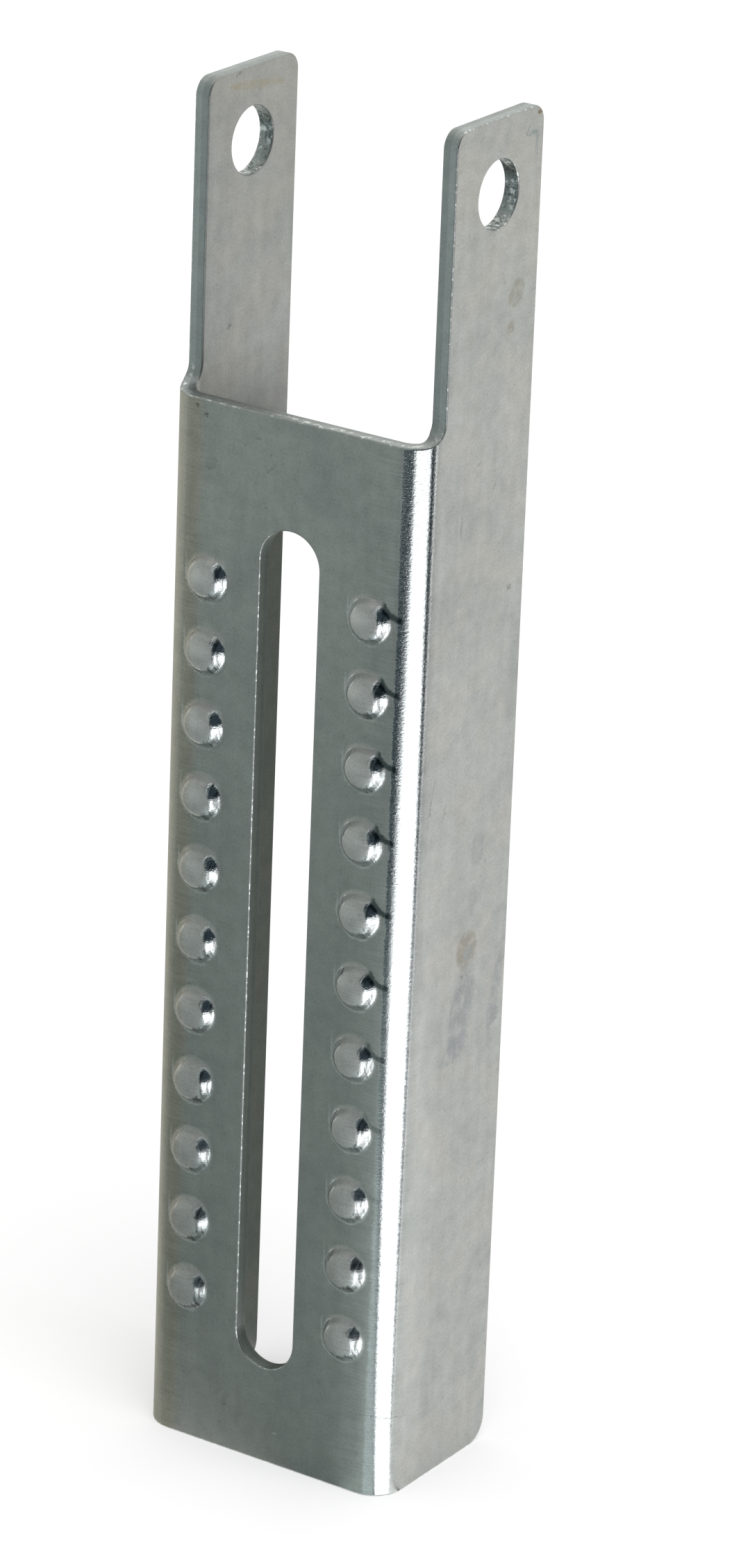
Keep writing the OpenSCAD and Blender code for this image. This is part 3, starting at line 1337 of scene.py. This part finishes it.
@dataclass(frozen=True)
class Gloss:
    """Roughness of each kind of surface, and how much the patterns change it.

    Attributes:
        dull: roughness of the flats.
        bright: roughness of burnished zinc.
        cut: roughness of the cut edges.
        clouds: swing of the clouds on the flats.
        rubs: swing of the level lines on the flats.
        bright_rubs: swing of the level lines on burnished zinc.
        low_front: how much rougher the burnish beside the web gets towards the foot.
        glint_loss: how much smoother the painted glints on the cut edges are.
    """

    dull: float = 0.5
    bright: float = 0.13
    cut: float = 0.4
    clouds: float = 0.12
    rubs: float = 0.10
    bright_rubs: float = 0.08
    low_front: float = 0.14
    glint_loss: float = 0.2


@dataclass(frozen=True)
class Relief:
    """Heights of the patterns above the sheet, in millimetres.

    Attributes:
        teeth: ragged relief of burnished zinc.
        rubs: level lines.
        specks: specks in the first half of the bends.
        pits: depth of the pits outside burnished zinc.
        grain: fine grain all over.
        grain_front: more of it on burnished zinc on the web.
        grain_cut: more of it on the cut edges.
    """

    teeth: float = 0.034
    rubs: float = 0.006
    specks: float = 0.03
    pits: float = 0.02
    grain: float = 0.010
    grain_front: float = 0.02
    grain_cut: float = 0.03


@dataclass(frozen=True)
class ZincFinish:
    """Dull zinc on the flats, zinc that the dies have burnished by rubbing, and rougher zinc on cut edges.

    Attributes:
        dull: colour of the flats.
        patina: colour of their darker clouds.
        warm: colour of the flanges' warmer clouds.
        crown_sheen: colour of the painted sheen on the dimples' crowns.
        bright: colour of burnished zinc.
        film: colour of the thin film on the left bend.
        dark_reflection: colour of the painted dark reflections beside the dimples and on the bores' walls.
        cut: colour of the cut edges.
        marks: the stains and scratches.
        tones: strengths of the patterns in the colour.
        gloss: roughness of each kind of surface.
        relief: heights of the patterns.
    """

    dull: Colour = (0.455, 0.465, 0.45)
    patina: Colour = (0.40, 0.415, 0.405)
    warm: Colour = (0.465, 0.46, 0.44)
    crown_sheen: Colour = (0.66, 0.645, 0.635)
    bright: Colour = (0.78, 0.80, 0.81)
    film: Colour = (0.43, 0.405, 0.335)
    dark_reflection: Colour = (0.06, 0.09, 0.09)
    cut: Colour = (0.44, 0.47, 0.465)
    marks: tuple[Mark, ...] = MARKS
    tones: Tones = Tones()
    gloss: Gloss = Gloss()
    relief: Relief = Relief()

    def colour(self, coat: Coat) -> bpy.types.NodeSocket:
        """Lays the colours over each other, from the dull zinc to the painted glints, and shades them.

        Args:
            coat: what the finish reads at each point.

        Returns:
            The base colour.
        """
        noise, outer = coat.noise, coat.outer
        warmth = (noise.tints.graded(0.42, 0.62) + coat.z.graded(225.0, 262.0) * 0.5) * coat.side
        # bore_streaks: where the bores' painted dark reflections fall.
        bore_streaks = (noise.mottle + noise.grain).graded(0.92, 1.15)
        layers = [
            (self.patina, noise.clouds.graded(0.42, 0.68) * 0.7),
            (self.warm, warmth.clamped()),
            # Painted sheen on the crowns, where the dies have not burnished.
            (self.crown_sheen, coat.crown * outer * (1.0 - coat.burnish)),
            (self.bright, coat.burnish * 0.85),
            (self.film, coat.film * 0.75),
            # Painted pale reflection along the creases beside the dimples.
            (PALE, coat.crease * outer * 0.55),
            # Painted dark reflection where the right dimples meet the bend.
            (self.dark_reflection, coat.link * outer * 0.9),
            *((mark.colour, coat.spot(mark) * mark.share) for mark in self.marks),
            (self.cut, coat.cut),
            # Painted dark reflections in streaks on the bores' walls.
            (self.dark_reflection, coat.bore * bore_streaks * 0.75),
            # Painted highlights in small dots on the cut edges.
            (PALE, coat.glint),
        ]
        colour = self.dull
        for over, share in layers:
            colour = coat.graph.mix(colour, over, share)
        return coat.graph.shade(colour, self.tone(coat))

    def tone(self, coat: Coat) -> Signal:
        """Works out what the colour is multiplied by.

        Args:
            coat: what the finish reads at each point.

        Returns:
            A signal near 1.
        """
        noise, by = coat.noise, self.tones
        tone = 1.0 + noise.rubs.swing * (coat.near_bend * by.rubs_near_bend + by.rubs)
        tone = tone + noise.grain.swing * by.grain + noise.mottle.swing * by.mottle
        tone = tone + noise.streaks.swing * by.streaks + noise.tints.swing * coat.side * by.tints
        # The painted glow brightens the zinc beside the right bend.
        tone = tone + noise.scuffs * coat.side * coat.outer * by.scuffs + coat.painted_glow * by.painted_glow
        tone = tone - (noise.flecks * by.fleck_loss + noise.pits * by.pit_loss) * coat.outer
        tone = tone - noise.stripes * coat.burnish * coat.front * by.stripe_loss
        # Painted sheen: crowns brighter above crown_level and darker below it.
        tone = tone + coat.crown * (coat.z - by.crown_level) * by.crown
        # Painted shade: the inner face is darker, and darker still inside the channel.
        return tone * (1.0 - coat.inner * by.inner_shade_loss) * (1.0 - coat.hollow * by.hollow_shade_loss)

    def roughness(self, coat: Coat) -> Signal:
        """Works out the roughness: dull on the flats, glossy where burnished, duller again at the foot.

        Args:
            coat: what the finish reads at each point.

        Returns:
            The roughness.
        """
        noise, by = coat.noise, self.gloss
        dull = by.dull + noise.clouds.swing * by.clouds + noise.rubs.swing * by.rubs
        bright = by.bright + noise.rubs.swing * by.bright_rubs
        rough = dull * (1.0 - coat.burnish) + bright * coat.burnish
        rough = rough + coat.burnish * coat.front * coat.z.graded(110.0, 40.0) * by.low_front
        return rough * (1.0 - coat.cut) + coat.cut * by.cut - coat.glint * by.glint_loss

    def height(self, coat: Coat) -> Signal:
        """Works out the fine relief, in millimetres.

        Args:
            coat: what the finish reads at each point.

        Returns:
            The height above the sheet.
        """
        noise, by = coat.noise, self.relief
        grain = by.grain + coat.burnish * coat.front * by.grain_front + coat.cut * by.grain_cut
        height = noise.teeth.swing * coat.burnish * by.teeth + noise.rubs.swing * by.rubs
        height = height + noise.grain.swing * grain + noise.specks.swing * coat.strip * by.specks
        return height - noise.pits * (1.0 - coat.burnish) * by.pits

    def material(self, bracket: Bracket) -> bpy.types.Material:
        """Builds the material.

        Args:
            bracket: the bracket, for the places of its dimples and bends.

        Returns:
            The material.
        """
        made = bpy.data.materials.new("zinc_sheet")
        made.use_nodes = True
        graph = Graph(made.node_tree)
        coat = Coat(graph, bracket)
        bump = {"Strength": 1.0, "Distance": MM, "Height": self.height(coat)}
        values = {
            "Base Color": self.colour(coat), "Metallic": 1.0, "Roughness": self.roughness(coat),
            "Normal": graph.add("ShaderNodeBump", inputs=bump).outputs[0],
        }
        shader = graph.add("ShaderNodeBsdfPrincipled", inputs=values)
        graph.add("ShaderNodeOutputMaterial", inputs={"Surface": shader.outputs[0]})
        LOG.info("zinc_sheet: a material with %d marks and %d nodes", len(self.marks), len(graph.tree.nodes))
        return made


class Lay(Enum):
    """How a reflection card stands: flat just above the floor, or upright on an arc round the bracket."""

    FLOOR = "floor"
    WALL = "wall"


@dataclass(frozen=True)
class Card:
    """A card that the metal reflects and the camera doesn't see.

    Its glow is given on a few lines, and changes evenly from each line to the next.

    Attributes:
        name: the card's name.
        lay: how it stands.
        lines: distance on the floor, or height on a wall, of each line, and azimuth and colour of its stops.
        lift: height above the floor.
        centre: the point that the azimuths turn about.
        distance: how far away a wall stands.
        rows: how many rows of points there are across the lines.
        steps: how many columns of points there are from one stop to the next.
    """

    name: str
    lay: Lay
    lines: tuple[StopLine, ...]
    lift: float = 0.3
    centre: tuple[float, float] = (21.9, -9.75)
    distance: float = 900.0
    rows: int = 120
    steps: int = 6

    def build(self) -> bpy.types.Object:
        """Makes the card: the centre plus a distance times the sine and minus the cosine of the azimuth.

        Returns:
            The card's object.
        """
        known = np.array([reach for reach, _ in self.lines])
        stops = np.array([[(azimuth, *colour) for azimuth, colour in stops] for _, stops in self.lines])
        across = np.linspace(known[0], known[-1], self.rows)
        spans = stops.shape[1] - 1
        along = np.linspace(0.0, spans, self.steps * spans + 1)
        rows = np.interp(across, known, np.arange(len(known)))
        grid = between(between(stops, rows).swapaxes(0, 1), along)
        turn, level = np.radians(grid[..., 0]), grid[..., 1:]
        reach = across[None] if self.lay is Lay.FLOOR else np.full((1, len(across)), self.distance)
        x = self.centre[0] + reach * np.sin(turn)
        y = self.centre[1] - reach * np.cos(turn)
        z = np.full_like(x, self.lift) if self.lay is Lay.FLOOR else np.broadcast_to(across, x.shape)
        place = np.stack([x, y, z], axis=-1).reshape(-1, 3) * MM
        rows, columns = x.shape
        first = (columns * np.arange(rows - 1)[:, None] + np.arange(columns - 1)).ravel()
        quads = np.stack([first, first + columns, first + columns + 1, first + 1], axis=1)
        mesh = bpy.data.meshes.new(self.name)
        mesh.from_pydata(place.tolist(), [], quads.tolist())
        colour = np.concatenate([level.reshape(-1, 3), np.ones((len(place), 1))], axis=1)
        glow = mesh.attributes.new("glow", "FLOAT_COLOR", "POINT")
        glow.data.foreach_set("color", colour.astype(np.float32).ravel())
        mesh.materials.append(card_material())
        card = stage(self.name, mesh, reflected_only=True)
        LOG.info("%s: a card with %d lines of %d stops", self.name, *stops.shape[:2])
        return card


def stage(name: str, mesh: bpy.types.Mesh, reflected_only: bool = False) -> bpy.types.Object:
    """Puts a mesh in the scene as a part of the studio.

    Args:
        name: the object's name.
        mesh: its mesh.
        reflected_only: whether it shows in reflections alone.

    Returns:
        The object.
    """
    made = bpy.data.objects.new(name, mesh)
    bpy.context.scene.collection.objects.link(made)
    if reflected_only:
        made.visible_camera = made.visible_diffuse = made.visible_shadow = False
    return made


def card_material() -> bpy.types.Material:
    """Makes or finds the cards' material: each point glows with its stored colour.

    Returns:
        The material.
    """
    if "card" in bpy.data.materials:
        return bpy.data.materials["card"]
    made = bpy.data.materials.new("card")
    made.use_nodes = True
    graph = Graph(made.node_tree)
    glow = graph.add("ShaderNodeAttribute", {"attribute_name": "glow"}).outputs["Color"]
    shader = graph.add("ShaderNodeEmission", inputs={"Color": glow, "Strength": 1.0})
    graph.add("ShaderNodeOutputMaterial", inputs={"Surface": shader.outputs[0]})
    return made


BLACK, SOOT = (0.03, 0.045, 0.055), (0.015, 0.025, 0.03)
SHADE, WALL = (0.31, 0.345, 0.31), (0.44, 0.485, 0.47)
CREAM = (0.97, 0.98, 0.95)


@dataclass(frozen=True)
class Sweep:
    """What the metal reflects on one line round it, from the left through the front to the back.

    Attributes:
        web: the grey that the web shows.
        glow: how much brighter that grey gets towards the fan.
        fan: colour of the dark fan that the bend shows beside the web.
        dark: azimuths between which that fan lies.
        white: azimuth at which the bright panel after it ends.
        thin: azimuth at which the thin dark strip after that ends.
        rest: the pale tone that the flange shows.
        panel: the bright panel's colour.
        left: colours that the left side shows, from its back to its front.
    """

    web: Colour
    glow: float
    fan: Colour
    dark: tuple[float, float]
    white: float
    thin: float
    rest: Colour = (1.06, 1.075, 1.07)
    panel: Colour = (1.7, 1.75, 1.75)
    left: tuple[Colour, Colour] = ((0.70, 0.71, 0.675), (0.70, 0.705, 0.66))

    def stops(self) -> tuple[Stop, ...]:
        """Lists azimuth and colour of each stop.

        Returns:
            The stops, by rising azimuth.
        """
        start, end = self.dark
        pale = tuple(self.glow * part for part in self.web)
        return (
            (-134.0, self.left[0]), (-100.0, self.left[1]), (-62.0, self.web), (-33.0, self.web),
            (-16.0, pale), (start, pale), (start + 2.5, self.fan), (end, self.fan),
            (end + 1.5, self.panel), (self.white, self.panel), (self.white + 1.5, SOOT),
            (self.thin, SOOT), (self.thin + 4.0, self.rest), (180.0, self.rest), (226.0, self.rest),
        )


def lines(sweeps: dict[float, Sweep]) -> tuple[StopLine, ...]:
    """Lists each sweep's distance or height and its stops, as a card takes them.

    Args:
        sweeps: each line's distance or height, and what the metal reflects on it.

    Returns:
        The card's lines.
    """
    return tuple((reach, sweep.stops()) for reach, sweep in sweeps.items())


@dataclass
class Studio:
    """The floor, the world, the lamp, the reflection cards and the camera.

    Attributes:
        floor_colour: colour of the floor.
        floor_half: half the floor's width, in metres.
        fill: strength of the world's even light on the floor.
        key: strength of the one soft lamp.
        lift: how much the floor glows to the eye, so that it looks as white as the world.
        lens: focal length for a sensor 36 mm on its long side.
        eye: the camera's place.
        right: direction of the picture's right side.
        down: direction of the picture's lower side.
        forward: direction in which the camera looks.
    """

    floor_colour: Colour = (0.8, 0.8, 0.8)
    floor_half: float = 6.0
    fill: float = 0.7
    key: float = 0.9
    lift: float = 0.32
    lens: float = 146.98
    eye: Triple = (614.25, -922.68, 569.70)
    right: Triple = (0.82814525, 0.55935883, 0.03596031)
    down: Triple = (0.23231837, -0.28415178, -0.93020747)
    forward: Triple = (-0.51010157, 0.77870114, -0.36526828)

    def seen(self, graph: Graph) -> Signal:
        """Gives 1 for rays from the camera, a gloss or a glass, and 0 for the others.

        Args:
            graph: the tree that needs it.

        Returns:
            The signal.
        """
        rays = graph.add("ShaderNodeLightPath").outputs
        names = ("Is Camera Ray", "Is Glossy Ray", "Is Transmission Ray")
        camera, glossy, through = (Signal(graph, rays[name]) for name in names)
        return (camera + glossy + through).clamped()

    def world(self) -> None:
        """Makes the world white to the eye and plain grey as a light."""
        world = bpy.data.worlds.new("studio")
        bpy.context.scene.world = world
        world.use_nodes = True
        graph = Graph(world.node_tree)
        white = {"Color": (1.0, 1.0, 1.0, 1.0), "Strength": self.seen(graph) * (1.0 - self.fill) + self.fill}
        shade = graph.add("ShaderNodeBackground", inputs=white)
        graph.add("ShaderNodeOutputWorld", inputs={"Surface": shade.outputs[0]})

    def floor(self) -> None:
        """Makes the pale floor, which keeps the bracket's shadow."""
        half = self.floor_half
        mesh = bpy.data.meshes.new("floor")
        places = [(-half, -half, 0), (half, -half, 0), (half, half, 0), (-half, half, 0)]
        mesh.from_pydata(places, [], [(0, 1, 2, 3)])
        made = bpy.data.materials.new("floor")
        made.use_nodes = True
        graph = Graph(made.node_tree)
        pale = graph.add("ShaderNodeBsdfDiffuse", inputs={"Color": opaque(self.floor_colour)})
        white = {"Color": (1.0, 1.0, 1.0, 1.0), "Strength": self.seen(graph) * self.lift}
        glow = graph.add("ShaderNodeEmission", inputs=white)
        both = graph.add("ShaderNodeAddShader", inputs={0: pale.outputs[0], 1: glow.outputs[0]})
        graph.add("ShaderNodeOutputMaterial", inputs={"Surface": both.outputs[0]})
        mesh.materials.append(made)
        stage("floor", mesh)

    def lamps(self) -> None:
        """Hangs one wide soft lamp high on the right. The metal reflects the cards in its place."""
        light = bpy.data.lights.new("key", "SUN")
        light.energy = self.key
        light.angle = math.radians(40.0)
        lamp = bpy.data.objects.new("key", light)
        lamp.rotation_euler = (math.radians(28.0), 0.0, math.radians(60.0))
        lamp.visible_glossy = False
        bpy.context.scene.collection.objects.link(lamp)

    def floor_card(self) -> Card:
        """Describes the card above the floor, which most of the metal reflects.

        Returns:
            The card.
        """
        low, mid = (0.24, 0.28, 0.27), (0.125, 0.165, 0.155)
        upper, high = (0.22, 0.27, 0.26), (0.55, 0.62, 0.605)
        smoke, dim = (0.30, 0.32, 0.325), (0.09, 0.11, 0.12)
        near_rest, near_panel = (0.88, 0.89, 0.87), (1.4, 1.45, 1.45)
        sweeps = {
            1.0: Sweep(low, 1.9, smoke, (34.0, 37.5), 81.0, 85.0, near_rest, near_panel),
            60.0: Sweep(low, 1.8, dim, (22.0, 28.0), 82.0, 88.0),
            150.0: Sweep(low, 1.7, dim, (14.0, 24.0), 85.0, 93.0),
            250.0: Sweep(mid, 1.7, BLACK, (-4.0, 19.0), 88.0, 97.0),
            290.0: Sweep(mid, 1.6, BLACK, (-12.0, 21.0), 90.0, 100.0),
            380.0: Sweep(upper, 1.5, BLACK, (-12.0, 28.0), 90.0, 102.0),
            506.0: Sweep(high, 1.35, BLACK, (-10.0, 36.0), 88.0, 106.0, (1.15, 1.16, 1.14)),
            900.0: Sweep(high, 1.35, BLACK, (-10.0, 40.0), 88.0, 107.0, (1.15, 1.16, 1.13)),
        }
        return Card("floor_card", Lay.FLOOR, lines(sweeps))

    def wall_card(self) -> Card:
        """Describes the wall all round, dark to the right of the web and even at its top.

        Returns:
            The card.
        """
        fans = {0.0: 16.0, 150.0: 20.0, 410.0: 27.0, 735.0: 35.0, 1185.0: 46.0, 1500.0: 58.0}
        plain = Sweep(WALL, 0.85, WALL, (70.0, 100.0), 102.0, 104.0, CREAM, WALL)
        fanned = replace(plain, fan=BLACK, panel=BLACK)
        sweeps = {height: replace(fanned, dark=(start, 100.0)) for height, start in fans.items()}
        sweeps |= {1750.0: plain, 2200.0: plain}
        return Card("wall_card", Lay.WALL, lines(sweeps))

    def channel_card(self) -> Card:
        """Describes the darker card behind the open channel.

        Returns:
            The card.
        """
        stops = ((176.4, SHADE), (183.6, SHADE))
        across = ((2.0, stops), (194.0, stops))
        return Card("channel_card", Lay.WALL, across, centre=(0.0, -400.0), distance=422.0)

    def camera(self) -> None:
        """Places the camera where the picture was taken from."""
        data = bpy.data.cameras.new("camera")
        data.lens = self.lens
        data.sensor_width = 36.0
        data.clip_start, data.clip_end = 0.05, 50.0
        camera = bpy.data.objects.new("camera", data)
        axes = Matrix((self.right, -Vector(self.down), -Vector(self.forward))).transposed().to_4x4()
        camera.matrix_world = Matrix.Translation(Vector(self.eye) * MM) @ axes
        bpy.context.scene.collection.objects.link(camera)
        bpy.context.scene.camera = camera

    def build(self) -> None:
        """Makes the whole studio."""
        bpy.context.scene.view_settings.view_transform = "Standard"
        self.world()
        self.floor()
        self.lamps()
        for card in (self.floor_card(), self.wall_card(), self.channel_card()):
            card.build()
        self.camera()
        LOG.info("studio built")


def corners(bounds: tuple[Vector, Vector]) -> list[list[float]]:
    """Writes a box's two corners as plain lists."""
    return [list(map(float, corner)) for corner in bounds]


def main() -> None:
    logging.basicConfig(level=logging.INFO, format="%(name)s: %(message)s")
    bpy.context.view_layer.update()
    Studio().build()
    bracket = Bracket()
    bracket.build().data.materials.append(ZincFinish().material(bracket))
    LOG.info("finished")


if __name__ == "__main__":
    main()
